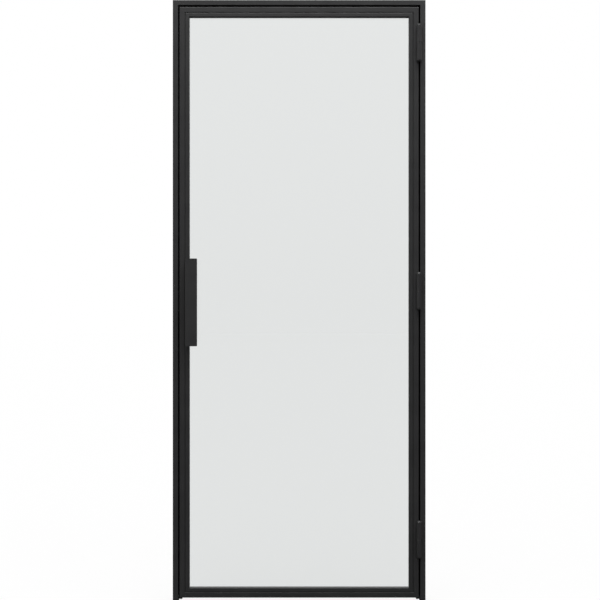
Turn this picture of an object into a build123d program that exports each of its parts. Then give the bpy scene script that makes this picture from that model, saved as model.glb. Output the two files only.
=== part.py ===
"""Glazed steel door in its frame, seen from the pull side.

X runs along the width with the hinges on the right, Y runs to the back and Z is up.
The origin is on the floor, in the middle of the width and of the overall depth.
"""

import os

from build123d import *

os.makedirs("parts", exist_ok=True)

# Frame of two jambs and a head, made of one steel tube
FRAME_WIDTH = 873.0
FRAME_HEIGHT = 2080.0
FRAME_FACE = 18.2
FRAME_DEPTH = 60.0
FRAME_WALL = 2.0
TUBE_RADIUS = 1.5

# Stop bars behind the leaf, with a rubber seal on their front
STOP_PROJECTION = 10.0
STOP_GAP = 3.0
STOP_RADIUS = 1.0
SEAL_WIDTH = 6.0
SEAL_INSET = 0.5
SEAL_CLEARANCE = 0.3

# Holes for the screws that hold the frame in the wall
FIXING_RADIUS = 3.5
FIXING_HEAD_RADIUS = 6.5
FIXING_HEAD_DEPTH = 5.0
FIXING_END = 150.0
FIXING_INNER = 700.0
HEAD_FIXING_SPACING = 500.0

# Leaf and the gaps around it
SIDE_GAP = 5.3
HEAD_GAP = 6.3
UNDERCUT = 15.5
LEAF_THICKNESS = 40.0
LEAF_WALL = 2.0

# Leaf profile: outer tube, shadow groove and front glazing band
TUBE_FACE = 18.3
GROOVE_WIDTH = 1.6
GROOVE_DEPTH = 3.5
BAND_FACE = 13.8
BAND_DEPTH = 18.0

# Glass, the gaskets on both sides of it and the blocks round its edge
GLASS_THICKNESS = 8.0
GLASS_EDGE_GAP = 4.0
GASKET_THICKNESS = 3.0
GASKET_INSET = 1.0
BLOCK_LENGTH = 60.0
BLOCK_WIDTH = 10.0
BLOCK_SHARE = 0.25

# Clip-on glazing bead at the back and the studs that hold it
BEAD_WALL = 1.2
BEAD_RADIUS = 1.5
BEAD_SLOT = 3.4
BEAD_CLEARANCE = 0.3
BEAD_SETBACK = 5.2
STUD_RADIUS = 1.5
STUD_HEAD_RADIUS = 2.2
STUD_HEAD_THICKNESS = 1.5
STUD_REACH = 4.0
STUD_END = 110.0
STUD_PITCH = 300.0

# Barrel hinges: knuckles seated on the front faces, turning on a loose pin
BARREL_RADIUS = 8.5
BARREL_CLEARANCE = 0.5
KNUCKLE_LENGTH = 60.0
KNUCKLE_SEAT_WIDTH = 5.0
KNUCKLE_SEAT_THICKNESS = 1.5
KNUCKLE_CHAMFER = 0.6
PIN_RADIUS = 5.0
PIN_CLEARANCE = 0.05
PIN_HEAD_RADIUS = 7.0
PIN_HEAD_HEIGHT = 5.0
PIN_HEAD_RIM = 1.0
SPIGOT_RADIUS = 3.0
SPIGOT_LENGTH = 3.0
WASHER_RADIUS = 7.5
WASHER_THICKNESS = 1.0
WASHER_CLEARANCE = 0.3
HINGE_FROM_TOP = 125.5
HINGE_FROM_BOTTOM = 202.5

# Pull handle folded from sheet, with its foot on the glazing band
HANDLE_LENGTH = 300.0
HANDLE_WIDTH = 41.0
HANDLE_PROJECTION = 40.0
HANDLE_SHEET = 4.0
HANDLE_BEND = 1.5
HANDLE_INSET = 23.0
HANDLE_FOOT = 8.5
HANDLE_CORNER = 3.0
HANDLE_SCREW_SPACING = 220.0
HANDLE_SCREW_RADIUS = 2.5
HANDLE_SCREW_HEAD_RADIUS = 4.0
HANDLE_SCREW_HEAD_HEIGHT = 3.0
DRIVER_HOLE_RADIUS = 4.2

# Magnetic catch in the closing edge, and its keeper on the jamb
CATCH_DEPTH = 15.0
PLATE_THICKNESS = 1.5
PLATE_WIDTH = 14.0
PLATE_LENGTH = 70.0
PLATE_RADIUS = 3.0
HOUSING_WIDTH = 10.0
HOUSING_LENGTH = 40.0
HOUSING_DEPTH = 12.0
MAGNET_WALL = 1.5
PLATE_SCREW_SPACING = 56.0
PLATE_SCREW_RADIUS = 1.5
PLATE_SCREW_HEAD_RADIUS = 2.8
PLATE_SCREW_LENGTH = 6.0
COUNTERSINK_ANGLE = 90.0

# Clearance of a screw or a fitted piece in its hole, and the overrun of a cut
FIT = 0.05
OVERRUN = 1.0

# Places that follow from the sizes above
FRONT = (HANDLE_PROJECTION - FRAME_DEPTH) / 2
LEAF_WIDTH = FRAME_WIDTH - 2 * (FRAME_FACE + SIDE_GAP)
LEAF_HEIGHT = FRAME_HEIGHT - FRAME_FACE - HEAD_GAP - UNDERCUT
LEAF_TOP = UNDERCUT + LEAF_HEIGHT
LEAF_MIDDLE = UNDERCUT + LEAF_HEIGHT / 2
LEAF_EDGE = LEAF_WIDTH / 2
JAMB_EDGE = LEAF_EDGE + SIDE_GAP
STOP_FRONT = LEAF_THICKNESS + STOP_GAP
STOP_DEPTH = FRAME_DEPTH - STOP_FRONT
FIXING_DEPTH = STOP_FRONT + STOP_DEPTH / 2
SIGHT_WIDTH = TUBE_FACE + GROOVE_WIDTH + BAND_FACE
BAND_MIDDLE = SIGHT_WIDTH - BAND_FACE / 2
GLASS_EDGE = TUBE_FACE + GLASS_EDGE_GAP
GLASS_FRONT = BAND_DEPTH + GASKET_THICKNESS
GLASS_BACK = GLASS_FRONT + GLASS_THICKNESS
BEAD_FRONT = GLASS_BACK + GASKET_THICKNESS
BEAD_DEPTH = LEAF_THICKNESS - BEAD_FRONT
STUD_DEPTH = BEAD_FRONT + BEAD_DEPTH / 2
AXIS_X = LEAF_EDGE
AXIS_Y = FRONT - BARREL_RADIUS - BARREL_CLEARANCE


def ring_sides(width, height, bottom):
    """Planes at the sides of an upright rectangle: x inwards, y to the back and z along the side."""
    left = -width / 2
    right = width / 2
    top = bottom + height
    return {
        "latch": (Plane((left, FRONT, bottom), x_dir=(1, 0, 0), z_dir=(0, 0, 1)), height),
        "top": (Plane((left, FRONT, top), x_dir=(0, 0, -1), z_dir=(1, 0, 0)), width),
        "hinge": (Plane((right, FRONT, top), x_dir=(-1, 0, 0), z_dir=(0, 0, -1)), height),
        "bottom": (Plane((right, FRONT, bottom), x_dir=(0, 0, 1), z_dir=(-1, 0, 0)), width),
    }


FRAME_SIDES = ring_sides(FRAME_WIDTH, FRAME_HEIGHT, 0)
LEAF_SIDES = ring_sides(LEAF_WIDTH, LEAF_HEIGHT, UNDERCUT)


def cut_mitres(side, start=True, end=True):
    """Cut the ends of a bar at 45 degrees through the corners of its ring."""
    plane, length = side
    if start:
        start_normal = plane.z_dir - plane.x_dir
        split(bisect_by=Plane(plane.origin, x_dir=plane.y_dir, z_dir=start_normal), keep=Keep.TOP)
    if end:
        end_normal = (plane.z_dir + plane.x_dir) * -1
        end_point = plane.origin + plane.z_dir * length
        split(bisect_by=Plane(end_point, x_dir=plane.y_dir, z_dir=end_normal), keep=Keep.TOP)


def save(piece, label):
    """Name a finished piece and write it."""
    piece.part.label = label
    export_step(piece.part, f"parts/{label}.step")


def strip(side, inner, outer, front, back):
    """A plain rectangular bar along one side, between two insets and two depths."""
    plane, length = side
    with BuildSketch(plane) as section:
        with Locations(((inner + outer) / 2, (front + back) / 2)):
            Rectangle(outer - inner, back - front)
    extrude(section.sketch, amount=length)


def frame_tube(side):
    """The hollow tube of the frame along one side."""
    plane, length = side
    with BuildSketch(plane) as section:
        with Locations((FRAME_FACE / 2, FRAME_DEPTH / 2)):
            RectangleRounded(FRAME_FACE, FRAME_DEPTH, TUBE_RADIUS)
            Rectangle(FRAME_FACE - 2 * FRAME_WALL, FRAME_DEPTH - 2 * FRAME_WALL, mode=Mode.SUBTRACT)
    extrude(section.sketch, amount=length)


def stop_bar(side):
    """The bar behind the leaf along one side, with its inner corners rounded."""
    plane, length = side
    with BuildSketch(plane) as section:
        with Locations((FRAME_FACE + STOP_PROJECTION / 2, STOP_FRONT + STOP_DEPTH / 2)):
            Rectangle(STOP_PROJECTION, STOP_DEPTH)
        fillet(section.vertices().group_by(Axis.X)[-1], STOP_RADIUS)
    extrude(section.sketch, amount=length)


def drill(plane, points, radius, depth):
    """Round holes at points of a plane, cut along its normal."""
    with BuildSketch(plane) as holes:
        with Locations(*points):
            Circle(radius)
    extrude(holes.sketch, amount=depth, mode=Mode.SUBTRACT)


# Wall fixings: pairs of holes through the jambs and their stops, and one pair through the head
JAMB_FIXINGS = [
    (FIXING_DEPTH, height)
    for height in (FIXING_END, FIXING_INNER, FRAME_HEIGHT - FIXING_INNER, FRAME_HEIGHT - FIXING_END)
]
HEAD_FIXINGS = [(-HEAD_FIXING_SPACING / 2, FIXING_DEPTH), (HEAD_FIXING_SPACING / 2, FIXING_DEPTH)]
FIXING_RUN = FRAME_FACE + STOP_PROJECTION + 2 * OVERRUN


def drill_jamb_fixings(lowest_x):
    """Holes along X through a jamb and its stop, from the given side."""
    plane = Plane((lowest_x - OVERRUN, FRONT, 0), x_dir=(0, 1, 0), z_dir=(1, 0, 0))
    drill(plane, JAMB_FIXINGS, FIXING_RADIUS, FIXING_RUN)


def drill_head_fixings():
    """Holes along Z through the head and its stop."""
    lowest_z = FRAME_HEIGHT - FRAME_FACE - STOP_PROJECTION - OVERRUN
    drill(Plane((0, FRONT, lowest_z)), HEAD_FIXINGS, FIXING_RADIUS, FIXING_RUN)


# Catch: the holes of its two plates lie at the same heights, at the middle of the leaf
PLATE_SCREW_HEIGHTS = [
    LEAF_MIDDLE - PLATE_SCREW_SPACING / 2,
    LEAF_MIDDLE + PLATE_SCREW_SPACING / 2,
]
PLATE_SCREWS = [(CATCH_DEPTH, height) for height in PLATE_SCREW_HEIGHTS]
CATCH_Y = FRONT + CATCH_DEPTH

# Latch jamb, with the holes of the keeper's screws
with BuildPart() as latch_jamb:
    frame_tube(FRAME_SIDES["latch"])
    cut_mitres(FRAME_SIDES["latch"], start=False)
    drill_jamb_fixings(-FRAME_WIDTH / 2)
    keeper_wall = Plane((-JAMB_EDGE, FRONT, 0), x_dir=(0, 1, 0), z_dir=(1, 0, 0))
    drill(keeper_wall, PLATE_SCREWS, PLATE_SCREW_RADIUS + FIT, -FRAME_WALL - OVERRUN)
save(latch_jamb, "latch_jamb")

# Hinge jamb
with BuildPart() as hinge_jamb:
    frame_tube(FRAME_SIDES["hinge"])
    cut_mitres(FRAME_SIDES["hinge"], end=False)
    drill_jamb_fixings(JAMB_EDGE - STOP_PROJECTION)
save(hinge_jamb, "hinge_jamb")

# Head of the frame, mitred to both jambs
with BuildPart() as frame_head:
    frame_tube(FRAME_SIDES["top"])
    cut_mitres(FRAME_SIDES["top"])
    drill_head_fixings()
save(frame_head, "frame_head")

# Stops, counterbored on their open side for the heads of the wall screws
with BuildPart() as latch_stop:
    stop_bar(FRAME_SIDES["latch"])
    cut_mitres(FRAME_SIDES["latch"], start=False)
    drill_jamb_fixings(-FRAME_WIDTH / 2)
    latch_stop_face = Plane((STOP_PROJECTION - JAMB_EDGE, FRONT, 0), x_dir=(0, 1, 0), z_dir=(1, 0, 0))
    drill(latch_stop_face, JAMB_FIXINGS, FIXING_HEAD_RADIUS, -FIXING_HEAD_DEPTH)
save(latch_stop, "latch_stop")

with BuildPart() as hinge_stop:
    stop_bar(FRAME_SIDES["hinge"])
    cut_mitres(FRAME_SIDES["hinge"], end=False)
    drill_jamb_fixings(JAMB_EDGE - STOP_PROJECTION)
    hinge_stop_face = Plane((JAMB_EDGE - STOP_PROJECTION, FRONT, 0), x_dir=(0, 1, 0), z_dir=(1, 0, 0))
    drill(hinge_stop_face, JAMB_FIXINGS, FIXING_HEAD_RADIUS, FIXING_HEAD_DEPTH)
save(hinge_stop, "hinge_stop")

with BuildPart() as head_stop:
    stop_bar(FRAME_SIDES["top"])
    cut_mitres(FRAME_SIDES["top"])
    drill_head_fixings()
    head_stop_face = Plane((0, FRONT, FRAME_HEIGHT - FRAME_FACE - STOP_PROJECTION))
    drill(head_stop_face, HEAD_FIXINGS, FIXING_HEAD_RADIUS, FIXING_HEAD_DEPTH)
save(head_stop, "head_stop")

# Seals on the front of the stops, a hair clear of the closed leaf
SEAL_OUTER = FRAME_FACE + STOP_PROJECTION - SEAL_INSET
SEAL_FRONT = LEAF_THICKNESS + SEAL_CLEARANCE
for seal_name, seal_side, start_mitre, end_mitre in (
    ("latch_seal", "latch", False, True),
    ("head_seal", "top", True, True),
    ("hinge_seal", "hinge", True, False),
):
    with BuildPart() as seal:
        strip(FRAME_SIDES[seal_side], SEAL_OUTER - SEAL_WIDTH, SEAL_OUTER, SEAL_FRONT, STOP_FRONT)
        cut_mitres(FRAME_SIDES[seal_side], start_mitre, end_mitre)
    save(seal, seal_name)


def leaf_profile(side):
    """The two-chamber profile of the leaf along one side: tube, shadow groove and glazing band."""
    plane, length = side
    with BuildSketch(plane) as section:
        with Locations((TUBE_FACE / 2, LEAF_THICKNESS / 2)):
            Rectangle(TUBE_FACE, LEAF_THICKNESS)
        with Locations((BAND_MIDDLE, BAND_DEPTH / 2)):
            Rectangle(BAND_FACE, BAND_DEPTH)
        fillet(section.vertices().group_by(Axis.Y)[0], TUBE_RADIUS)
        fillet(section.vertices().group_by(Axis.Y)[-1], TUBE_RADIUS)
        with Locations((TUBE_FACE + GROOVE_WIDTH / 2, (GROOVE_DEPTH + BAND_DEPTH) / 2)):
            Rectangle(GROOVE_WIDTH + 2 * LEAF_WALL, BAND_DEPTH - GROOVE_DEPTH)
        with Locations((TUBE_FACE / 2, LEAF_THICKNESS / 2)):
            Rectangle(TUBE_FACE - 2 * LEAF_WALL, LEAF_THICKNESS - 2 * LEAF_WALL, mode=Mode.SUBTRACT)
        with Locations((BAND_MIDDLE, BAND_DEPTH / 2)):
            Rectangle(BAND_FACE - 2 * LEAF_WALL, BAND_DEPTH - 2 * LEAF_WALL, mode=Mode.SUBTRACT)
    extrude(section.sketch, amount=length)
    cut_mitres(side)


def stud_plane(side):
    """Plane on the inner wall of a leaf tube, with x along the side and z towards the glass."""
    plane, length = side
    origin = plane.origin + plane.x_dir * TUBE_FACE + plane.y_dir * STUD_DEPTH
    return Plane(origin, x_dir=plane.z_dir, z_dir=plane.x_dir)


def stud_points(side):
    """Evenly spaced stud places along a side, between its two end distances."""
    plane, length = side
    run = length - 2 * STUD_END
    spaces = max(1, round(run / STUD_PITCH))
    return [(STUD_END + run * place / spaces, 0) for place in range(spaces + 1)]


def drill_studs(side):
    """Holes for the bead studs in the inner wall of a leaf tube."""
    drill(stud_plane(side), stud_points(side), STUD_RADIUS + FIT, -LEAF_WALL - OVERRUN)


# Handle stile, drilled for the handle's screws and slotted for the magnet
HANDLE_SCREW_POINTS = [
    (BAND_MIDDLE - LEAF_EDGE, LEAF_MIDDLE - HANDLE_SCREW_SPACING / 2),
    (BAND_MIDDLE - LEAF_EDGE, LEAF_MIDDLE + HANDLE_SCREW_SPACING / 2),
]
with BuildPart() as handle_stile:
    leaf_profile(LEAF_SIDES["latch"])
    drill_studs(LEAF_SIDES["latch"])
    leaf_front = Plane((0, FRONT, 0), x_dir=(1, 0, 0), z_dir=(0, -1, 0))
    drill(leaf_front, HANDLE_SCREW_POINTS, HANDLE_SCREW_RADIUS + FIT, -LEAF_WALL - OVERRUN)
    band_back = leaf_front.offset(-BAND_DEPTH)
    drill(band_back, HANDLE_SCREW_POINTS, DRIVER_HOLE_RADIUS, LEAF_WALL + OVERRUN)
    closing_edge = Plane((-LEAF_EDGE, FRONT, 0), x_dir=(0, 1, 0), z_dir=(1, 0, 0))
    drill(closing_edge, PLATE_SCREWS, PLATE_SCREW_RADIUS + FIT, LEAF_WALL + OVERRUN)
    with BuildSketch(closing_edge) as magnet_slot:
        with Locations((CATCH_DEPTH, LEAF_MIDDLE)):
            Rectangle(HOUSING_WIDTH + 2 * FIT, HOUSING_LENGTH + 2 * FIT)
    extrude(magnet_slot.sketch, amount=LEAF_WALL + OVERRUN, mode=Mode.SUBTRACT)
save(handle_stile, "handle_stile")

# The other three members of the leaf
for member_name, member_side in (
    ("hinge_stile", "hinge"),
    ("top_rail", "top"),
    ("bottom_rail", "bottom"),
):
    with BuildPart() as member:
        leaf_profile(LEAF_SIDES[member_side])
        drill_studs(LEAF_SIDES[member_side])
    save(member, member_name)

# Glass pane, with its lower edge on the setting blocks
GLASS_WIDTH = LEAF_WIDTH - 2 * GLASS_EDGE
GLASS_HEIGHT = LEAF_HEIGHT - 2 * GLASS_EDGE
GLASS_MIDDLE_Y = FRONT + GLASS_FRONT + GLASS_THICKNESS / 2
with BuildPart() as glass_pane:
    with Locations((0, GLASS_MIDDLE_Y, LEAF_MIDDLE)):
        Box(GLASS_WIDTH, GLASS_THICKNESS, GLASS_HEIGHT)
save(glass_pane, "glass_pane")


def edge_blocks(side):
    """Two packing blocks between the leaf tube and the edge of the glass on one side."""
    plane, length = side
    start = plane.origin + plane.x_dir * TUBE_FACE + plane.y_dir * (GLASS_FRONT + GLASS_THICKNESS / 2)
    with BuildSketch(Plane(start, x_dir=plane.z_dir, z_dir=plane.x_dir)) as block:
        with Locations((length * BLOCK_SHARE, 0), (length * (1 - BLOCK_SHARE), 0)):
            Rectangle(BLOCK_LENGTH, BLOCK_WIDTH)
    extrude(block.sketch, amount=GLASS_EDGE_GAP)


# Blocks: two that carry the glass, and the others that keep it in place
with BuildPart() as setting_blocks:
    edge_blocks(LEAF_SIDES["bottom"])
save(setting_blocks, "setting_blocks")

with BuildPart() as location_blocks:
    for block_side in ("latch", "top", "hinge"):
        edge_blocks(LEAF_SIDES[block_side])
save(location_blocks, "location_blocks")

# Gasket strips in front of and behind the glass, mitred at the corners
BEAD_SIGHT = SIGHT_WIDTH - BEAD_SETBACK
for gasket_name, sight, gasket_front, gasket_back in (
    ("front_gasket", SIGHT_WIDTH, BAND_DEPTH, GLASS_FRONT),
    ("rear_gasket", BEAD_SIGHT, GLASS_BACK, BEAD_FRONT),
):
    for gasket_side, ring_side in LEAF_SIDES.items():
        with BuildPart() as gasket:
            strip(ring_side, GLASS_EDGE, sight - GASKET_INSET, gasket_front, gasket_back)
            cut_mitres(ring_side)
        save(gasket, f"{gasket_name}_{gasket_side}")

# Glazing beads: rolled channels, set back behind the front band, that clip over the studs
BEAD_START = TUBE_FACE + BEAD_CLEARANCE
BEAD_FACE = BEAD_SIGHT - BEAD_START
for bead_side, ring_side in LEAF_SIDES.items():
    with BuildPart() as bead:
        with BuildSketch(ring_side[0]) as channel:
            with Locations((BEAD_START + BEAD_FACE / 2, STUD_DEPTH)):
                Rectangle(BEAD_FACE, BEAD_DEPTH)
            fillet(channel.vertices().group_by(Axis.Y)[-1], BEAD_RADIUS)
            with Locations((BEAD_START + BEAD_FACE / 2, STUD_DEPTH)):
                Rectangle(BEAD_FACE - 2 * BEAD_WALL, BEAD_DEPTH - 2 * BEAD_WALL, mode=Mode.SUBTRACT)
            with Locations((BEAD_START + BEAD_WALL / 2, STUD_DEPTH)):
                Rectangle(BEAD_WALL + OVERRUN, BEAD_SLOT, mode=Mode.SUBTRACT)
        extrude(channel.sketch, amount=ring_side[1])
        cut_mitres(ring_side)
    save(bead, f"glazing_bead_{bead_side}")

# Studs that the beads clip over: a shank through the tube's wall and a mushroom head
with BuildPart() as clip_stud:
    with BuildSketch(Plane.XZ) as stud_section:
        with BuildLine():
            Polyline(
                (0, -LEAF_WALL - OVERRUN),
                (STUD_RADIUS, -LEAF_WALL - OVERRUN),
                (STUD_RADIUS, STUD_REACH - STUD_HEAD_THICKNESS),
                (STUD_HEAD_RADIUS, STUD_REACH - STUD_HEAD_THICKNESS),
                (STUD_RADIUS, STUD_REACH),
                (0, STUD_REACH),
                close=True,
            )
        make_face()
    revolve(axis=Axis.Z)

with BuildPart() as bead_studs:
    for ring_side in LEAF_SIDES.values():
        wall = stud_plane(ring_side)
        with Locations(*[wall.location * Pos(*point) for point in stud_points(ring_side)]):
            add(clip_stud.part)
save(bead_studs, "bead_studs")

# Hinges, each a stack on its axis: pin head, jamb knuckle, washer, leaf knuckle, washer, cap nut
STACK_LENGTH = 2 * (PIN_HEAD_HEIGHT + KNUCKLE_LENGTH + WASHER_THICKNESS)
HEAD_BASE = STACK_LENGTH / 2 - PIN_HEAD_HEIGHT
JAMB_KNUCKLE_BASE = HEAD_BASE - KNUCKLE_LENGTH
LEAF_KNUCKLE_BASE = JAMB_KNUCKLE_BASE - WASHER_THICKNESS - KNUCKLE_LENGTH
CAP_TOP = LEAF_KNUCKLE_BASE - WASHER_THICKNESS
BOTTOM_HINGE = UNDERCUT + HINGE_FROM_BOTTOM
TOP_HINGE = LEAF_TOP - HINGE_FROM_TOP
HINGES = {
    "top_hinge": TOP_HINGE,
    "middle_hinge": (BOTTOM_HINGE + TOP_HINGE) / 2,
    "bottom_hinge": BOTTOM_HINGE,
}


def knuckle(base, seat_x):
    """Drop-shaped barrel with a seat on a front face, bored for the pin."""
    with BuildSketch(Plane.XY.offset(base)) as drop:
        with Locations((AXIS_X, AXIS_Y)):
            Circle(BARREL_RADIUS)
        with Locations((seat_x, FRONT - KNUCKLE_SEAT_THICKNESS / 2)):
            Rectangle(KNUCKLE_SEAT_WIDTH, KNUCKLE_SEAT_THICKNESS)
        make_hull()
    barrel = extrude(drop.sketch, amount=KNUCKLE_LENGTH)
    ends = barrel.faces().filter_by(Axis.Z)
    chamfer(ends.edges(), KNUCKLE_CHAMFER)
    drill(Plane((AXIS_X, AXIS_Y, base)), [(0, 0)], PIN_RADIUS + PIN_CLEARANCE, KNUCKLE_LENGTH)


SEAT_INSET = TUBE_RADIUS + KNUCKLE_SEAT_WIDTH / 2
PIN_AXIS = Axis((AXIS_X, AXIS_Y, 0), (0, 0, 1))
for hinge_name, middle in HINGES.items():
    section_plane = Plane((AXIS_X, AXIS_Y, middle), x_dir=(1, 0, 0), z_dir=(0, -1, 0))

    with BuildPart() as jamb_knuckle:
        knuckle(middle + JAMB_KNUCKLE_BASE, JAMB_EDGE + SEAT_INSET)
    save(jamb_knuckle, f"{hinge_name}_jamb_knuckle")

    with BuildPart() as leaf_knuckle:
        knuckle(middle + LEAF_KNUCKLE_BASE, LEAF_EDGE - SEAT_INSET)
    save(leaf_knuckle, f"{hinge_name}_leaf_knuckle")

    with BuildPart() as pin:
        with BuildSketch(section_plane) as pin_section:
            with BuildLine():
                TangentArc((0, STACK_LENGTH / 2), (PIN_HEAD_RADIUS, HEAD_BASE + PIN_HEAD_RIM), tangent=(1, 0))
                Polyline(
                    (PIN_HEAD_RADIUS, HEAD_BASE + PIN_HEAD_RIM),
                    (PIN_HEAD_RADIUS, HEAD_BASE),
                    (PIN_RADIUS, HEAD_BASE),
                    (PIN_RADIUS, CAP_TOP),
                    (SPIGOT_RADIUS, CAP_TOP),
                    (SPIGOT_RADIUS, CAP_TOP - SPIGOT_LENGTH),
                    (0, CAP_TOP - SPIGOT_LENGTH),
                    (0, STACK_LENGTH / 2),
                )
            make_face()
        revolve(axis=PIN_AXIS)
    save(pin, f"{hinge_name}_pin")

    with BuildPart() as cap_nut:
        with BuildSketch(section_plane) as cap_section:
            with BuildLine():
                TangentArc((0, -STACK_LENGTH / 2), (PIN_HEAD_RADIUS, CAP_TOP - PIN_HEAD_RIM), tangent=(1, 0))
                Polyline(
                    (PIN_HEAD_RADIUS, CAP_TOP - PIN_HEAD_RIM),
                    (PIN_HEAD_RADIUS, CAP_TOP),
                    (SPIGOT_RADIUS + FIT, CAP_TOP),
                    (SPIGOT_RADIUS + FIT, CAP_TOP - SPIGOT_LENGTH - FIT),
                    (0, CAP_TOP - SPIGOT_LENGTH - FIT),
                    (0, -STACK_LENGTH / 2),
                )
            make_face()
        revolve(axis=PIN_AXIS)
    save(cap_nut, f"{hinge_name}_cap_nut")

# Plastic washers, between the knuckles and under the leaf knuckle, which stands on the lower one
with BuildPart() as hinge_washers:
    for middle in HINGES.values():
        for washer_base in (JAMB_KNUCKLE_BASE - WASHER_THICKNESS, CAP_TOP):
            with BuildSketch(Plane((AXIS_X, AXIS_Y, middle + washer_base))) as washer:
                Circle(WASHER_RADIUS)
                Circle(PIN_RADIUS + WASHER_CLEARANCE, mode=Mode.SUBTRACT)
            extrude(washer.sketch, amount=WASHER_THICKNESS)
save(hinge_washers, "hinge_washers")

# Pull handle: grip plate, web and foot folded from one sheet, open towards the glass
HANDLE_BOTTOM = LEAF_MIDDLE - HANDLE_LENGTH / 2
with BuildPart() as pull_handle:
    with BuildSketch(Plane((HANDLE_INSET - LEAF_EDGE, FRONT, HANDLE_BOTTOM))) as fold:
        with BuildLine():
            FilletPolyline(
                (HANDLE_FOOT, -HANDLE_SHEET / 2),
                (HANDLE_SHEET / 2, -HANDLE_SHEET / 2),
                (HANDLE_SHEET / 2, HANDLE_SHEET / 2 - HANDLE_PROJECTION),
                (HANDLE_WIDTH, HANDLE_SHEET / 2 - HANDLE_PROJECTION),
                radius=HANDLE_BEND + HANDLE_SHEET / 2,
            )
        trace(line_width=HANDLE_SHEET)
    extrude(amount=HANDLE_LENGTH)
    grip_corners = pull_handle.edges().filter_by(Axis.Y).group_by(Axis.X)[-1]
    fillet(grip_corners, HANDLE_CORNER)
    drill(leaf_front, HANDLE_SCREW_POINTS, HANDLE_SCREW_RADIUS + FIT, HANDLE_SHEET)
save(pull_handle, "pull_handle")

# Screws of the handle, driven from inside the glazing band
with BuildPart() as handle_screws:
    for screw_x, screw_z in HANDLE_SCREW_POINTS:
        with BuildSketch(Plane((screw_x, FRONT + LEAF_WALL, screw_z), z_dir=(0, 1, 0))) as screw_head:
            Circle(HANDLE_SCREW_HEAD_RADIUS)
        extrude(screw_head.sketch, amount=HANDLE_SCREW_HEAD_HEIGHT)
        with BuildSketch(Plane((screw_x, FRONT + LEAF_WALL, screw_z), z_dir=(0, 1, 0))) as screw_shank:
            Circle(HANDLE_SCREW_RADIUS)
        extrude(screw_shank.sketch, amount=-LEAF_WALL - HANDLE_SHEET)
save(handle_screws, "handle_screws")


def catch_plate(back_plane):
    """Plate of the catch on a wall, countersunk for its two screws."""
    with BuildSketch(back_plane) as outline:
        RectangleRounded(PLATE_WIDTH, PLATE_LENGTH, PLATE_RADIUS)
    extrude(outline.sketch, amount=PLATE_THICKNESS)
    with Locations(back_plane.offset(PLATE_THICKNESS)):
        with Locations((0, -PLATE_SCREW_SPACING / 2), (0, PLATE_SCREW_SPACING / 2)):
            CounterSinkHole(
                PLATE_SCREW_RADIUS + FIT,
                PLATE_SCREW_HEAD_RADIUS + FIT,
                PLATE_THICKNESS,
                counter_sink_angle=COUNTERSINK_ANGLE,
            )


# Magnet housing: a plate on the closing edge with a box that hangs in the tube
edge_plane = Plane((-LEAF_EDGE, CATCH_Y, LEAF_MIDDLE), x_dir=(0, -1, 0), z_dir=(-1, 0, 0))
jamb_plane = Plane((-JAMB_EDGE, CATCH_Y, LEAF_MIDDLE), x_dir=(0, 1, 0), z_dir=(1, 0, 0))
MAGNET_WIDTH = HOUSING_WIDTH - 2 * MAGNET_WALL
MAGNET_LENGTH = HOUSING_LENGTH - 2 * MAGNET_WALL
MAGNET_DEPTH = PLATE_THICKNESS + HOUSING_DEPTH - MAGNET_WALL
with BuildPart() as magnet_housing:
    catch_plate(edge_plane)
    with BuildSketch(edge_plane) as housing_box:
        Rectangle(HOUSING_WIDTH, HOUSING_LENGTH)
    extrude(housing_box.sketch, amount=-HOUSING_DEPTH)
    with BuildSketch(edge_plane.offset(PLATE_THICKNESS)) as magnet_pocket:
        Rectangle(MAGNET_WIDTH, MAGNET_LENGTH)
    extrude(magnet_pocket.sketch, amount=-MAGNET_DEPTH, mode=Mode.SUBTRACT)
save(magnet_housing, "magnet_housing")

with BuildPart() as catch_magnet:
    with BuildSketch(edge_plane.offset(PLATE_THICKNESS)) as magnet_face:
        Rectangle(MAGNET_WIDTH, MAGNET_LENGTH)
    extrude(magnet_face.sketch, amount=-MAGNET_DEPTH)
save(catch_magnet, "catch_magnet")

# Keeper plate on the jamb, facing the magnet
with BuildPart() as keeper_plate:
    catch_plate(jamb_plane)
save(keeper_plate, "keeper_plate")

# Countersunk screws of the two plates
with BuildPart() as plate_screw:
    with BuildSketch(Plane.XZ) as plate_screw_section:
        with BuildLine():
            Polyline(
                (0, 0),
                (PLATE_SCREW_HEAD_RADIUS, 0),
                (PLATE_SCREW_RADIUS, PLATE_SCREW_RADIUS - PLATE_SCREW_HEAD_RADIUS),
                (PLATE_SCREW_RADIUS, -PLATE_SCREW_LENGTH),
                (0, -PLATE_SCREW_LENGTH),
                close=True,
            )
        make_face()
    revolve(axis=Axis.Z)

for screws_name, back_plane in (("magnet_screws", edge_plane), ("keeper_screws", jamb_plane)):
    with BuildPart() as screws:
        with Locations(back_plane.offset(PLATE_THICKNESS)):
            with Locations((0, -PLATE_SCREW_SPACING / 2), (0, PLATE_SCREW_SPACING / 2)):
                add(plate_screw.part)
    save(screws, screws_name)
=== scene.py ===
import math

import bmesh
import bpy
from mathutils import Matrix, Vector


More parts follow.
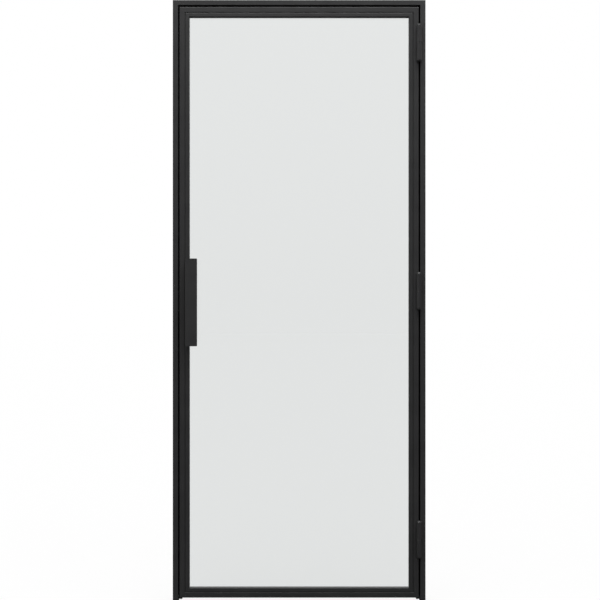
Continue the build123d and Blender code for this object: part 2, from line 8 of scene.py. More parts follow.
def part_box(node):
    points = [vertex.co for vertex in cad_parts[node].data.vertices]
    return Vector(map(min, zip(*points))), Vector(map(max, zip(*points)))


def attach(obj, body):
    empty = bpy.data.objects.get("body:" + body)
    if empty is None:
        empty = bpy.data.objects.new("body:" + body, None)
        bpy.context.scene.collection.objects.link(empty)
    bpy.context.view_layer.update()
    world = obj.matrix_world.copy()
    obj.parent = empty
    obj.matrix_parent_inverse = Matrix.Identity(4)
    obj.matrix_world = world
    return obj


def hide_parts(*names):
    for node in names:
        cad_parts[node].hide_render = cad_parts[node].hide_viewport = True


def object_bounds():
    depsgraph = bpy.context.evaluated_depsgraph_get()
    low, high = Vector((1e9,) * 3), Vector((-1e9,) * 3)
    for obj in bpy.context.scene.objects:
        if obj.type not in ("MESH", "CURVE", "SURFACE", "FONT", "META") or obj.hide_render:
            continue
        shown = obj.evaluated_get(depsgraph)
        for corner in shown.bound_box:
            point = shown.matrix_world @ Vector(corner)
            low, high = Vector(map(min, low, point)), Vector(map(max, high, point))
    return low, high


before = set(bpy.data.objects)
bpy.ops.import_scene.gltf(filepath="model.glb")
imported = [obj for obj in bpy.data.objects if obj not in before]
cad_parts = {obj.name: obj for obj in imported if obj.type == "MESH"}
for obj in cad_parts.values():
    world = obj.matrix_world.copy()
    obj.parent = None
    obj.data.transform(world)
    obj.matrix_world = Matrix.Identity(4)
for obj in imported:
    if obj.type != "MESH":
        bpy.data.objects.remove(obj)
cad_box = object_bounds()
MM = 0.001


# Frame of the doorway: two jambs and a head of slim steel tube, mitred, welded and ground flush.
# The whole frame is powder coated matt black, with the fine pebble that a baked coat has.
COAT_SHADES = ((0.0245, 0.0245, 0.0250), (0.0305, 0.0305, 0.0310))
COAT_ROUGHNESS = (0.36, 0.4)
COAT_SHEEN = 0.3
COAT_DRIFT = (14, 3)
COAT_PEBBLE = (1100, 2)
PEBBLE_BUMP = (0.5, 0.15 * MM)
SHADE_ENDS = (0.3, 0.7)


def new_material(name):
    """An empty material and its shader."""
    material = bpy.data.materials.new(name)
    material.use_nodes = True
    return material, material.node_tree.nodes["Principled BSDF"]


def object_noise(material, grain):
    """Noise on the piece's own coordinates, in metres, from its scale and detail."""
    scale, detail = grain
    nodes = material.node_tree.nodes
    place = nodes.new("ShaderNodeTexCoord")
    noise = nodes.new("ShaderNodeTexNoise")
    noise.inputs["Scale"].default_value = scale
    noise.inputs["Detail"].default_value = detail
    material.node_tree.links.new(place.outputs["Object"], noise.inputs["Vector"])
    return noise


def vary_colour(material, shader, noise, shades):
    """Let the noise move the base colour between two close shades."""
    ramp = material.node_tree.nodes.new("ShaderNodeValToRGB")
    for stop, position, shade in zip(ramp.color_ramp.elements, SHADE_ENDS, shades):
        stop.position = position
        stop.color = (*shade, 1)
    material.node_tree.links.new(noise.outputs["Fac"], ramp.inputs["Fac"])
    material.node_tree.links.new(ramp.outputs["Color"], shader.inputs["Base Color"])


def vary_roughness(material, shader, noise, roughness):
    """Let the noise move the roughness between two values."""
    smooth, rough = roughness
    span = material.node_tree.nodes.new("ShaderNodeMapRange")
    span.inputs["To Min"].default_value = smooth
    span.inputs["To Max"].default_value = rough
    material.node_tree.links.new(noise.outputs["Fac"], span.inputs["Value"])
    material.node_tree.links.new(span.outputs["Result"], shader.inputs["Roughness"])


def add_bump(material, shader, noise, bump):
    """Raise the surface by the noise, with a strength and a depth in metres."""
    strength, depth = bump
    relief = material.node_tree.nodes.new("ShaderNodeBump")
    relief.inputs["Strength"].default_value = strength
    relief.inputs["Distance"].default_value = depth
    material.node_tree.links.new(noise.outputs["Fac"], relief.inputs["Height"])
    material.node_tree.links.new(relief.outputs["Normal"], shader.inputs["Normal"])


def mottled(name, grain, shades, roughness):
    """A material whose shade and gloss follow one noise, with its shader and that noise."""
    material, shader = new_material(name)
    noise = object_noise(material, grain)
    vary_colour(material, shader, noise, shades)
    vary_roughness(material, shader, noise, roughness)
    return material, shader, noise


def powder_coat(name, roughness, shades=COAT_SHADES, sheen=COAT_SHEEN):
    """Matt powder coat: a slow drift of shade and gloss, and a pebble under a millimetre wide."""
    material, shader = mottled(name, COAT_DRIFT, shades, roughness)[:2]
    shader.inputs["Specular IOR Level"].default_value = sheen
    pebble = object_noise(material, COAT_PEBBLE)
    add_bump(material, shader, pebble, PEBBLE_BUMP)
    return material


def dress(material, *names):
    """Give CAD nodes their finish."""
    for name in names:
        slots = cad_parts[name].data.materials
        slots.clear()
        slots.append(material)


frame_coat = powder_coat("frame_coat", COAT_ROUGHNESS)
dress(frame_coat, "latch_jamb", "hinge_jamb", "frame_head")

# Stops: flat steel bars welded to the inside of the tubes, for the leaf to close against.
# They are coated with the frame, and hold the counterbored holes for the wall screws.
dress(frame_coat, "latch_stop", "hinge_stop", "head_stop")


# Door seal: an extruded rubber strip stuck to the front of each stop, mitred at the head.
# The leaf closes on its soft bulb, and a thin lip beside the bulb covers the last gap.
def greys(dark, light):
    """A dark and a light neutral shade."""
    return (dark,) * 3, (light,) * 3


RUBBER_SHADES = greys(0.0056, 0.0104)
RUBBER_ROUGHNESS = (0.62, 0.8)
RUBBER_SHEEN = 0.3
RUBBER_DUST = (60, 4)
RUBBER_SKIN = (900, 2)
SKIN_BUMP = (0.15, 0.1 * MM)
WELD_DISTANCE = 0.001 * MM
SHARP_ANGLE = math.radians(40)


def rubber(name):
    """Black rubber with a dusty drift in its shade and a fine skin."""
    material, shader = mottled(name, RUBBER_DUST, RUBBER_SHADES, RUBBER_ROUGHNESS)[:2]
    shader.inputs["Specular IOR Level"].default_value = RUBBER_SHEEN
    skin = object_noise(material, RUBBER_SKIN)
    add_bump(material, shader, skin, SKIN_BUMP)
    return material


def ring_sides(low, high):
    """Frames at the four sides of an upright rectangle: x inwards, y to the back and z along the side."""
    width, height = high.x - low.x, high.z - low.z
    sides = {
        "latch": ((low.x, low.z), (1, 0, 0), (0, 0, 1), height),
        "top": ((low.x, high.z), (0, 0, -1), (1, 0, 0), width),
        "hinge": ((high.x, high.z), (-1, 0, 0), (0, 0, -1), height),
        "bottom": ((high.x, low.z), (0, 0, 1), (-1, 0, 0), width),
    }
    placed = {}
    for name, (corner, inwards, along, length) in sides.items():
        axes = Matrix((inwards, (0, 1, 0), along)).transposed().to_4x4()
        placed[name] = (Matrix.Translation((corner[0], low.y, corner[1])) @ axes, length)
    return placed


def new_socket(tree, name, kind, into=True):
    """A named input or output of a node tree."""
    return tree.interface.new_socket(name=name, in_out="INPUT" if into else "OUTPUT", socket_type=kind)


def joined(tree, operation, first, second):
    """A maths node on two values, either of them a number."""
    node = tree.nodes.new("ShaderNodeMath")
    node.operation = operation
    for socket, value in zip(node.inputs, (first, second)):
        if isinstance(value, (int, float)):
            socket.default_value = value
        else:
            tree.links.new(value, socket)
    return node.outputs[0]


def painted(tree, geometry, material):
    """Makes instances real and gives the mesh its material."""
    real = tree.nodes.new("GeometryNodeRealizeInstances")
    tree.links.new(geometry, real.inputs["Geometry"])
    paint = tree.nodes.new("GeometryNodeSetMaterial")
    tree.links.new(real.outputs["Geometry"], paint.inputs["Geometry"])
    tree.links.new(material, paint.inputs["Material"])
    return paint.outputs["Geometry"]


def strip_tree():
    """Draws a flat section out to a strip, with its ends cut at 45 degrees where asked."""
    tree = bpy.data.node_groups.new("mitred_strip", "GeometryNodeTree")
    new_socket(tree, "Section", "NodeSocketGeometry")
    for name in ("Length", "Start Mitre", "End Mitre"):
        new_socket(tree, name, "NodeSocketFloat")
    new_socket(tree, "Material", "NodeSocketMaterial")
    new_socket(tree, "Strip", "NodeSocketGeometry", into=False)
    link = tree.links.new
    given = tree.nodes.new("NodeGroupInput")
    result = tree.nodes.new("NodeGroupOutput")

    draw = tree.nodes.new("GeometryNodeExtrudeMesh")
    draw.inputs["Individual"].default_value = False
    draw.inputs["Offset"].default_value = (0, 0, 1)
    link(given.outputs["Section"], draw.inputs["Mesh"])
    link(given.outputs["Length"], draw.inputs["Offset Scale"])
    start_face = tree.nodes.new("GeometryNodeFlipFaces")
    link(given.outputs["Section"], start_face.inputs["Mesh"])
    both = tree.nodes.new("GeometryNodeJoinGeometry")
    link(start_face.outputs["Mesh"], both.inputs["Geometry"])
    link(draw.outputs["Mesh"], both.inputs["Geometry"])
    closed = tree.nodes.new("GeometryNodeMergeByDistance")
    closed.inputs["Distance"].default_value = WELD_DISTANCE
    link(both.outputs["Geometry"], closed.inputs["Geometry"])

    place = tree.nodes.new("GeometryNodeInputPosition")
    parts = tree.nodes.new("ShaderNodeSeparateXYZ")
    link(place.outputs["Position"], parts.inputs["Vector"])
    share = joined(tree, "DIVIDE", parts.outputs["Z"], given.outputs["Length"])
    end_cut = joined(tree, "MULTIPLY", share, given.outputs["End Mitre"])
    start_fade = joined(tree, "MULTIPLY", share, given.outputs["Start Mitre"])
    start_cut = joined(tree, "SUBTRACT", given.outputs["Start Mitre"], start_fade)
    slope = joined(tree, "SUBTRACT", start_cut, end_cut)
    shift = joined(tree, "MULTIPLY", slope, parts.outputs["X"])
    offset = tree.nodes.new("ShaderNodeCombineXYZ")
    link(shift, offset.inputs["Z"])
    cut = tree.nodes.new("GeometryNodeSetPosition")
    link(closed.outputs["Geometry"], cut.inputs["Geometry"])
    link(offset.outputs["Vector"], cut.inputs["Offset"])
    strip = painted(tree, cut.outputs["Geometry"], given.outputs["Material"])
    link(strip, result.inputs["Strip"])
    return tree


def grown(name, seed_mesh, tree, values):
    """Run a node tree on a mesh and keep the result as a plain mesh object."""
    seed = bpy.data.objects.new(name + "_seed", seed_mesh)
    bpy.context.scene.collection.objects.link(seed)
    modifier = seed.modifiers.new("grow", "NODES")
    modifier.node_group = tree
    for item in tree.interface.items_tree:
        if item.in_out == "INPUT" and item.name in values:
            modifier[item.identifier] = values[item.name]
    bpy.context.view_layer.update()
    mesh = bpy.data.meshes.new_from_object(seed.evaluated_get(bpy.context.evaluated_depsgraph_get()))
    seed.modifiers.remove(modifier)
    bpy.data.objects.remove(seed)
    mesh.name = name
    piece = bpy.data.objects.new(name, mesh)
    bpy.context.scene.collection.objects.link(piece)
    return piece


def shade_curves(mesh):
    """Smooth shading across the curves, with the corners left sharp."""
    mesh.shade_smooth()
    mesh.set_sharp_from_angle(angle=SHARP_ANGLE)


def section_face(name, outline):
    """One flat face from an outline, facing along z."""
    mesh = bpy.data.meshes.new(name)
    mesh.from_pydata([(x, y, 0) for x, y in outline], [], [list(range(len(outline)))])
    mesh.update()
    if mesh.polygons[0].normal.z < 0:
        mesh.flip_normals()
    return mesh


def arc_points(centre, radius, start, end, steps):
    """Points of an arc, with its angles in degrees."""
    points = []
    for step in range(steps + 1):
        turn = math.radians(start + (end - start) * step / steps)
        points.append((centre[0] + radius[0] * math.cos(turn), centre[1] + radius[1] * math.sin(turn)))
    return points


MITRED_STRIP = strip_tree()


def mitred_strip(name, outline, side, material, start=True, end=True):
    """A strip along one side of a ring, smooth shaded across its curves."""
    place, length = side
    values = {"Length": length, "Start Mitre": float(start), "End Mitre": float(end), "Material": material}
    piece = grown(name, section_face(name, outline), MITRED_STRIP, values)
    piece.data.transform(place)
    shade_curves(piece.data)
    return piece


seal_rubber = rubber("seal_rubber")
FRAME_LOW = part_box("latch_jamb")[0]
FRAME_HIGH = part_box("hinge_jamb")[1]
FRAME_SIDES = ring_sides(FRAME_LOW, FRAME_HIGH)
seal_low, seal_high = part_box("latch_seal")
SEAL_START = seal_low.x - FRAME_LOW.x
SEAL_END = seal_high.x - FRAME_LOW.x
SEAL_FRONT = seal_low.y - FRAME_LOW.y
SEAL_BACK = seal_high.y - FRAME_LOW.y
SEAL_BASE = 0.8 * MM
BULB_WIDTH = 3.6 * MM
BULB_STEPS = 14
LIP_WIDTH = 0.7 * MM
LIP_HEIGHT_SHARE = 0.8
LIP_STEPS = 6
base_front = SEAL_BACK - SEAL_BASE
bulb_height = base_front - SEAL_FRONT
bulb_middle = (SEAL_END - BULB_WIDTH / 2 - LIP_WIDTH, base_front)
bulb_radius = (BULB_WIDTH / 2, bulb_height)
lip_middle = (SEAL_START + LIP_WIDTH, base_front)
lip_radius = (LIP_WIDTH / 2, bulb_height * LIP_HEIGHT_SHARE)
seal_outline = [(SEAL_START, SEAL_BACK), (SEAL_START, base_front)]
seal_outline += arc_points(lip_middle, lip_radius, 180, 360, LIP_STEPS)
seal_outline += arc_points(bulb_middle, bulb_radius, 180, 360, BULB_STEPS)
seal_outline += [(SEAL_END, base_front), (SEAL_END, SEAL_BACK)]
for side, node, start, end in (
    ("latch", "latch_seal", False, True),
    ("top", "head_seal", True, True),
    ("hinge", "hinge_seal", True, False),
):
    name = node.replace("seal", "bulb_seal")
    seal = mitred_strip(name, seal_outline, FRAME_SIDES[side], seal_rubber, start, end)
    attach(seal, "frame")
    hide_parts(node)

# Leaf: two stiles and two rails of one two-chamber steel profile, mitred and welded.
# A shadow groove runs between the outer tube and the thinner band in front of the glass.
leaf_coat = powder_coat("leaf_coat", COAT_ROUGHNESS)
dress(leaf_coat, "handle_stile", "hinge_stile", "top_rail", "bottom_rail")

# Glass: one pane of clear toughened glass, 8 mm thick, with the faint grey of plain float glass.
# It stands on packing blocks and is held all round between two rubber gaskets.
GLASS_TINT = (0.808, 0.823, 0.819, 1)
GLASS_IOR = 1.5
GLASS_ROUGHNESS = (0.0, 0.012)
WIPE_GRAIN = (7, 4)
glass, glass_shader = new_material("float_glass")
glass_shader.inputs["Base Color"].default_value = GLASS_TINT
glass_shader.inputs["Transmission Weight"].default_value = 1
glass_shader.inputs["IOR"].default_value = GLASS_IOR
wipe_marks = object_noise(glass, WIPE_GRAIN)
vary_roughness(glass, glass_shader, wipe_marks, GLASS_ROUGHNESS)
dress(glass, "glass_pane")

# Packing blocks: small moulded plastic blocks between the edge of the glass and the leaf tube.
# Two of them carry the pane, and the others keep it in the middle of its rebate.
BLOCK_GRAIN = (240, 3)
BLOCK_SHADES = greys(0.014, 0.022)
BLOCK_ROUGHNESS = (0.5, 0.62)
BLOCK_BUMP = (0.1, 0.1 * MM)
block_finish = mottled("block_plastic", BLOCK_GRAIN, BLOCK_SHADES, BLOCK_ROUGHNESS)
block_plastic, block_shader, block_noise = block_finish
add_bump(block_plastic, block_shader, block_noise, BLOCK_BUMP)
dress(block_plastic, "setting_blocks", "location_blocks")

# Gaskets: rubber strips pressed between the glass and the metal on both of its faces.
# Only the rounded edge shows, as a thin soft line round the pane, with two small ribs.
gasket_rubber = rubber("gasket_rubber")
LEAF_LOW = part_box("handle_stile")[0]
LEAF_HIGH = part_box("hinge_stile")[1]
LEAF_SIDES = ring_sides(LEAF_LOW, LEAF_HIGH)
GASKET_ROUND = 0.9 * MM
GASKET_STEPS = 8
for gasket in ("front_gasket", "rear_gasket"):
    gasket_low, gasket_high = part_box(gasket + "_latch")
    outer = gasket_low.x - LEAF_LOW.x
    inner = gasket_high.x - LEAF_LOW.x
    front = gasket_low.y - LEAF_LOW.y
    back = gasket_high.y - LEAF_LOW.y
    quarter = (back - front) / 4
    rib_radius = (GASKET_ROUND, quarter)
    outline = [(outer, back), (outer, front), (inner, front)]
    outline += arc_points((inner, front + quarter), rib_radius, -90, 90, GASKET_STEPS)
    outline += arc_points((inner, back - quarter), rib_radius, -90, 90, GASKET_STEPS)
    for side in LEAF_SIDES:
        strip = mitred_strip(f"{gasket}_strip_{side}", outline, LEAF_SIDES[side], gasket_rubber)
        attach(strip, "leaf")
        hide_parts(f"{gasket}_{side}")

# Glazing beads: rolled steel channels behind the glass, clipped over a row of plated studs.
# They are coated with the leaf and come off from the back when a pane is changed.
dress(leaf_coat, *(f"glazing_bead_{side}" for side in LEAF_SIDES))

PLATING_GRAIN = (420, 3)
PLATING_BUMP = (0.06, 0.05 * MM)
ZINC_SHADES = ((0.46, 0.47, 0.48), (0.6, 0.61, 0.62))
ZINC_ROUGHNESS = (0.28, 0.4)


def plated_metal(name, shades, roughness):
    """Plated metal with a fine grain and a little spread in its gloss."""
    material, shader, grain = mottled(name, PLATING_GRAIN, shades, roughness)
    shader.inputs["Metallic"].default_value = 1
    add_bump(material, shader, grain, PLATING_BUMP)
    return material


zinc = plated_metal("zinc_plating", ZINC_SHADES, ZINC_ROUGHNESS)
dress(zinc, "bead_studs")

# Hinges: three barrel hinges, each with one knuckle welded to the jamb and one to the leaf.
# A loose pin with a domed head runs through both, and a domed nut closes it from below.
# Plastic washers lie between the knuckles and above the nut.
HINGES = ("top_hinge", "middle_hinge", "bottom_hinge")
HINGE_PIECES = ("jamb_knuckle", "leaf_knuckle", "pin", "cap_nut")
HINGE_ROUGHNESS = (0.27, 0.31)
hinge_coat = powder_coat("hinge_coat", HINGE_ROUGHNESS)
dress(hinge_coat, *(f"{hinge}_{piece}" for hinge in HINGES for piece in HINGE_PIECES))

WASHER_GRAIN = (500, 2)
WASHER_SHADES = greys(0.012, 0.018)
WASHER_ROUGHNESS = (0.35, 0.45)
washer_plastic = mottled("washer_plastic", WASHER_GRAIN, WASHER_SHADES, WASHER_ROUGHNESS)[0]
dress(washer_plastic, "hinge_washers")

# Pull handle: folded from one piece of sheet steel, with its open side towards the glass.
# It is coated like the leaf, and two screws hold its foot from inside the glazing band.
HANDLE_ROUGHNESS = (0.38, 0.42)
handle_coat = powder_coat("handle_coat", HANDLE_ROUGHNESS)
dress(handle_coat, "pull_handle")
dress(zinc, "handle_screws")

# Magnetic catch: a magnet in a moulded housing in the closing edge, and a keeper plate on the jamb.
# Both are coloured darker than the coat, a painted shade that keeps the closing gap dark along its whole
# length.
# They are held by small countersunk screws with a star recess, driven flush.
# Painted shade: the catch's greys stand for the shade inside the closing gap, and are darker than the coat
# itself.
CATCH_PAINTED_SHADE_GREYS = greys(0.006, 0.009)
HOUSING_GRAIN = (700, 3)
HOUSING_ROUGHNESS = (0.42, 0.55)
HOUSING_SHEEN = 0.2
HOUSING_BUMP = (0.12, 0.08 * MM)
housing_painted_shade_finish = mottled("housing_plastic", HOUSING_GRAIN, CATCH_PAINTED_SHADE_GREYS, HOUSING_ROUGHNESS)
housing_plastic, housing_shader, housing_noise = housing_painted_shade_finish
housing_shader.inputs["Specular IOR Level"].default_value = HOUSING_SHEEN
add_bump(housing_plastic, housing_shader, housing_noise, HOUSING_BUMP)
dress(housing_plastic, "magnet_housing")

NICKEL_SHADES = ((0.5, 0.48, 0.45), (0.62, 0.6, 0.57))
NICKEL_ROUGHNESS = (0.16, 0.26)
nickel = plated_metal("nickel_plating", NICKEL_SHADES, NICKEL_ROUGHNESS)
dress(nickel, "catch_magnet")

# The keeper plate takes the same painted shade, darker than the frame's coat.
KEEPER_ROUGHNESS = (0.5, 0.6)
KEEPER_SHEEN = 0.12
keeper_painted_shade_coat = powder_coat("keeper_painted_shade_coat", KEEPER_ROUGHNESS, CATCH_PAINTED_SHADE_GREYS, KEEPER_SHEEN)
dress(keeper_painted_shade_coat, "keeper_plate")

SCREW_HEAD_RADIUS = 2.8 * MM
SCREW_SHANK_RADIUS = 1.5 * MM
SCREW_LENGTH = 6.0 * MM
SCREW_SPACING = 56.0 * MM
SCREW_STEPS = 48
RECESS_RADIUS = 1.35 * MM
RECESS_FLOOR_RADIUS = RECESS_RADIUS * 0.85
RECESS_DEPTH = 0.9 * MM
RECESS_LOBE = 0.2 * MM
RECESS_LOBES = 6
FACING_HINGES = math.radians(90)
FACING_LATCH = math.radians(-90)


def star_screw_mesh():
    """A countersunk screw along z, its head at zero, with a star-shaped recess."""

    def ring(mesh, radius, height, lobe=0.0):
        turns = [2 * math.pi * step / SCREW_STEPS for step in range(SCREW_STEPS)]
        reach = [radius + lobe * math.cos(RECESS_LOBES * turn) for turn in turns]
        return [mesh.verts.new((r * math.cos(t), r * math.sin(t), height)) for r, t in zip(reach, turns)]

    mesh = bmesh.new()
    cone_depth = SCREW_HEAD_RADIUS - SCREW_SHANK_RADIUS
    rings = [
        ring(mesh, RECESS_FLOOR_RADIUS, -RECESS_DEPTH, RECESS_LOBE),
        ring(mesh, RECESS_RADIUS, 0, RECESS_LOBE),
        ring(mesh, SCREW_HEAD_RADIUS, 0),
        ring(mesh, SCREW_SHANK_RADIUS, -cone_depth),
        ring(mesh, SCREW_SHANK_RADIUS, -SCREW_LENGTH),
    ]
    mesh.faces.new(rings[0])
    mesh.faces.new(list(reversed(rings[-1])))
    for upper, lower in zip(rings, rings[1:]):
        for step in range(SCREW_STEPS):
            after = (step + 1) % SCREW_STEPS
            mesh.faces.new((upper[step], lower[step], lower[after], upper[after]))
    bmesh.ops.recalc_face_normals(mesh, faces=mesh.faces)
    screw = bpy.data.meshes.new("star_screw")
    mesh.to_mesh(screw)
    mesh.free()
    return screw


def screw_row_tree():
    """Puts a screw on each point of a mesh, turned to a given angle."""
    tree = bpy.data.node_groups.new("screw_row", "GeometryNodeTree")
    new_socket(tree, "Places", "NodeSocketGeometry")
    new_socket(tree, "Screw", "NodeSocketObject")
    new_socket(tree, "Turn", "NodeSocketRotation")
    new_socket(tree, "Material", "NodeSocketMaterial")
    new_socket(tree, "Screws", "NodeSocketGeometry", into=False)
    link = tree.links.new
    given = tree.nodes.new("NodeGroupInput")
    result = tree.nodes.new("NodeGroupOutput")
    source = tree.nodes.new("GeometryNodeObjectInfo")
    link(given.outputs["Screw"], source.inputs["Object"])
    points = tree.nodes.new("GeometryNodeMeshToPoints")
    link(given.outputs["Places"], points.inputs["Mesh"])
    spread = tree.nodes.new("GeometryNodeInstanceOnPoints")
    link(points.outputs["Points"], spread.inputs["Points"])
    link(source.outputs["Geometry"], spread.inputs["Instance"])
    link(given.outputs["Turn"], spread.inputs["Rotation"])
    screws = painted(tree, spread.outputs["Instances"], given.outputs["Material"])
    link(screws, result.inputs["Screws"])
    return tree


SCREW_ROW = screw_row_tree()
star_screw = bpy.data.objects.new("star_screw", star_screw_mesh())
for name, node, body, face_x, turn in (
    ("keeper_star_screws", "keeper_screws", "frame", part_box("keeper_plate")[1].x, FACING_HINGES),
    ("magnet_star_screws", "magnet_screws", "leaf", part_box("magnet_housing")[0].x, FACING_LATCH),
):
    screw_low, screw_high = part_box(node)
    centre = (screw_low + screw_high) / 2
    heights = (centre.z - SCREW_SPACING / 2, centre.z + SCREW_SPACING / 2)
    places = bpy.data.meshes.new(name + "_places")
    places.from_pydata([(face_x, centre.y, height) for height in heights], [], [])
    values = {"Screw": star_screw, "Turn": (0, turn, 0), "Material": zinc}
    screws = grown(name, places, SCREW_ROW, values)
    shade_curves(screws.data)
    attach(screws, body)
    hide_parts(node)
bpy.data.objects.remove(star_screw)

# Studio: a pale floor and a white room, lit from overhead, with less light from in front and below.
# The camera sees the room as plain white, also through the glass, and gloss shows the white behind.
ROOM_SEEN = (1.0, 1.0, 1.0, 1)
ROOM_ZENITH = (1.0, 1.0, 1.0, 1)
ROOM_HORIZON = (0.15, 0.15, 0.15, 1)
ROOM_BELOW = (0.08, 0.08, 0.08, 1)

# Heights of the three shades of light, from 0, straight down, to 1, straight up
ZENITH_HEIGHT = 0.8
HORIZON_HEIGHT = 0.5
BELOW_HEIGHT = 0.4

# Parts of a ray's direction, to the back and up, past which gloss shows full white
WHITE_BEHIND = 0.3
WHITE_ABOVE = 0.25


def seen_straight(tree, path):
    """One for rays that the camera sends straight to a surface, or through the glass to it."""
    bounces = joined(tree, "ADD", path.outputs["Glossy Depth"], path.outputs["Diffuse Depth"])
    unturned = joined(tree, "LESS_THAN", bounces, 1)
    through = joined(tree, "MULTIPLY", path.outputs["Is Transmission Ray"], unturned)
    return joined(tree, "MAXIMUM", path.outputs["Is Camera Ray"], through)


world = bpy.data.worlds.new("studio")
world.use_nodes = True
bpy.context.scene.world = world
room = world.node_tree
room.nodes.clear()
room_place = room.nodes.new("ShaderNodeTexCoord")
room_parts = room.nodes.new("ShaderNodeSeparateXYZ")
room.links.new(room_place.outputs["Generated"], room_parts.inputs["Vector"])
room_height = room.nodes.new("ShaderNodeMapRange")
room_height.inputs["From Min"].default_value = -1
room.links.new(room_parts.outputs["Z"], room_height.inputs["Value"])
room_shade = room.nodes.new("ShaderNodeValToRGB")
room_stops = room_shade.color_ramp.elements
room_stops[0].position = BELOW_HEIGHT
room_stops[0].color = ROOM_BELOW
room_stops[1].position = ZENITH_HEIGHT
room_stops[1].color = ROOM_ZENITH
horizon = room_stops.new(HORIZON_HEIGHT)
horizon.color = ROOM_HORIZON
room.links.new(room_height.outputs["Result"], room_shade.inputs["Fac"])
room_light = room.nodes.new("ShaderNodeBackground")
room.links.new(room_shade.outputs["Color"], room_light.inputs["Color"])
room_white = room.nodes.new("ShaderNodeBackground")
room_white.inputs["Color"].default_value = ROOM_SEEN
room_path = room.nodes.new("ShaderNodeLightPath")
behind = room.nodes.new("ShaderNodeMapRange")
behind.inputs["From Max"].default_value = WHITE_BEHIND
room.links.new(room_parts.outputs["Y"], behind.inputs["Value"])
above = room.nodes.new("ShaderNodeMapRange")
above.inputs["From Max"].default_value = WHITE_ABOVE
room.links.new(room_parts.outputs["Z"], above.inputs["Value"])
white_wall = joined(room, "MULTIPLY", behind.outputs["Result"], above.outputs["Result"])
gloss = joined(room, "MULTIPLY", room_path.outputs["Is Glossy Ray"], white_wall)
room_seen = joined(room, "MAXIMUM", seen_straight(room, room_path), gloss)
room_mix = room.nodes.new("ShaderNodeMixShader")
room.links.new(room_seen, room_mix.inputs["Fac"])
room.links.new(room_light.outputs["Background"], room_mix.inputs[1])
room.links.new(room_white.outputs["Background"], room_mix.inputs[2])
room_output = room.nodes.new("ShaderNodeOutputWorld")
room.links.new(room_mix.outputs["Shader"], room_output.inputs["Surface"])

# The floor glows for the camera, so that its lit grey and the glow together are white, less the door's shadow
FLOOR_REACH = 30.0
FLOOR_GREY = (0.16, 0.16, 0.16, 1)
FLOOR_WHITE = 0.854
FLOOR_GLOSS = 0.04
floor_mesh = bpy.data.meshes.new("floor")
floor_corners = [(x * FLOOR_REACH, y * FLOOR_REACH, 0) for x, y in ((-1, -1), (1, -1), (1, 1), (-1, 1))]
floor_mesh.from_pydata(floor_corners, [], [(0, 1, 2, 3)])
floor = bpy.data.objects.new("floor", floor_mesh)
bpy.context.scene.collection.objects.link(floor)
floor_paint = bpy.data.materials.new("floor_paint")
floor_paint.use_nodes = True
floor_tree = floor_paint.node_tree
floor_tree.nodes.clear()
floor_matt = floor_tree.nodes.new("ShaderNodeBsdfDiffuse")
floor_matt.inputs["Color"].default_value = FLOOR_GREY
floor_path = floor_tree.nodes.new("ShaderNodeLightPath")
floor_seen = joined(floor_tree, "MULTIPLY", seen_straight(floor_tree, floor_path), FLOOR_WHITE)
floor_gloss = joined(floor_tree, "MULTIPLY", floor_path.outputs["Is Glossy Ray"], FLOOR_GLOSS)
floor_strength = joined(floor_tree, "MAXIMUM", floor_seen, floor_gloss)
floor_glow = floor_tree.nodes.new("ShaderNodeEmission")
floor_tree.links.new(floor_strength, floor_glow.inputs["Strength"])
floor_sum = floor_tree.nodes.new("ShaderNodeAddShader")
floor_tree.links.new(floor_matt.outputs["BSDF"], floor_sum.inputs[0])
floor_tree.links.new(floor_glow.outputs["Emission"], floor_sum.inputs[1])
floor_output = floor_tree.nodes.new("ShaderNodeOutputMaterial")
floor_tree.links.new(floor_sum.outputs["Shader"], floor_output.inputs["Surface"])
floor_mesh.materials.append(floor_paint)

# Lamps: a wide soft box over the door, a little in front of it, and a weak one on the left.
# They stay out of the camera's sight, and leave the floor to the even light of the room.
DOOR_TOP = Vector((0, 0, cad_box[1][2]))
DOOR_MIDDLE = DOOR_TOP / 2
OVERHEAD_PLACE = (0.2, -0.9, 4.8)
OVERHEAD_SIZE = 2.4
OVERHEAD_POWER = 195
LEFT_PLACE = (-3.4, -2.0, 1.8)
LEFT_SIZE = 1.6
LEFT_POWER = 14
unlit = bpy.data.collections.new("lit_by_room_alone")
unlit.objects.link(floor)
unlit.collection_objects[0].light_linking.link_state = "EXCLUDE"


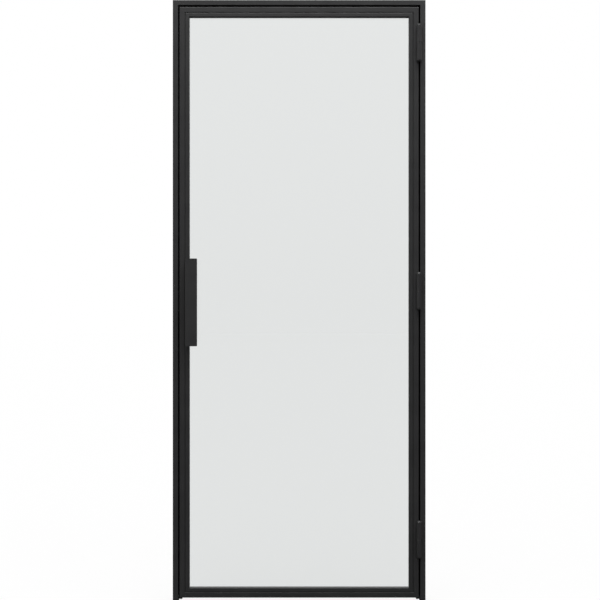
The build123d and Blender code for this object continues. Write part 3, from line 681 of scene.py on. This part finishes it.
def soft_box(name, place, aim, size, power):
    """A square area lamp at a place, turned to a point, that passes over the floor."""
    lamp = bpy.data.lights.new(name, "AREA")
    lamp.size = size
    lamp.energy = power
    box = bpy.data.objects.new(name, lamp)
    box.location = place
    box.rotation_euler = (aim - Vector(place)).to_track_quat("-Z", "Y").to_euler()
    box.visible_camera = False
    box.visible_transmission = False
    box.light_linking.receiver_collection = unlit
    bpy.context.scene.collection.objects.link(box)


soft_box("overhead_box", OVERHEAD_PLACE, DOOR_TOP, OVERHEAD_SIZE, OVERHEAD_POWER)
soft_box("left_box", LEFT_PLACE, DOOR_MIDDLE, LEFT_SIZE, LEFT_POWER)

# Camera: level, straight in front of the door, as far off as the depth of the glazing reveal shows.
# The picture's scale and centre follow from where the leaf's edges lie in the photograph.
PICTURE_SIZE = 600
LEAF_TOP_ROW = 6.95
LEAF_BOTTOM_ROW = 597.78
LEAF_LEFT_COLUMN = 179.56
LEAF_RIGHT_COLUMN = 418.75
CAMERA_DISTANCE = 3.7
SENSOR_WIDTH = 36.0
pixel = (LEAF_HIGH.z - LEAF_LOW.z) / (LEAF_BOTTOM_ROW - LEAF_TOP_ROW)
middle_row = (LEAF_TOP_ROW + LEAF_BOTTOM_ROW) / 2
middle_column = (LEAF_LEFT_COLUMN + LEAF_RIGHT_COLUMN) / 2
camera_data = bpy.data.cameras.new("camera")
camera_data.sensor_width = SENSOR_WIDTH
camera_data.lens = SENSOR_WIDTH * CAMERA_DISTANCE / (PICTURE_SIZE * pixel)
camera = bpy.data.objects.new("camera", camera_data)
camera.location = (
    (LEAF_LOW.x + LEAF_HIGH.x) / 2 + (PICTURE_SIZE / 2 - middle_column) * pixel,
    LEAF_LOW.y - CAMERA_DISTANCE,
    (LEAF_LOW.z + LEAF_HIGH.z) / 2 + (middle_row - PICTURE_SIZE / 2) * pixel,
)
camera.rotation_euler = (math.radians(90), 0, 0)
bpy.context.scene.collection.objects.link(camera)
bpy.context.scene.camera = camera
bpy.context.scene.view_settings.view_transform = "Standard"
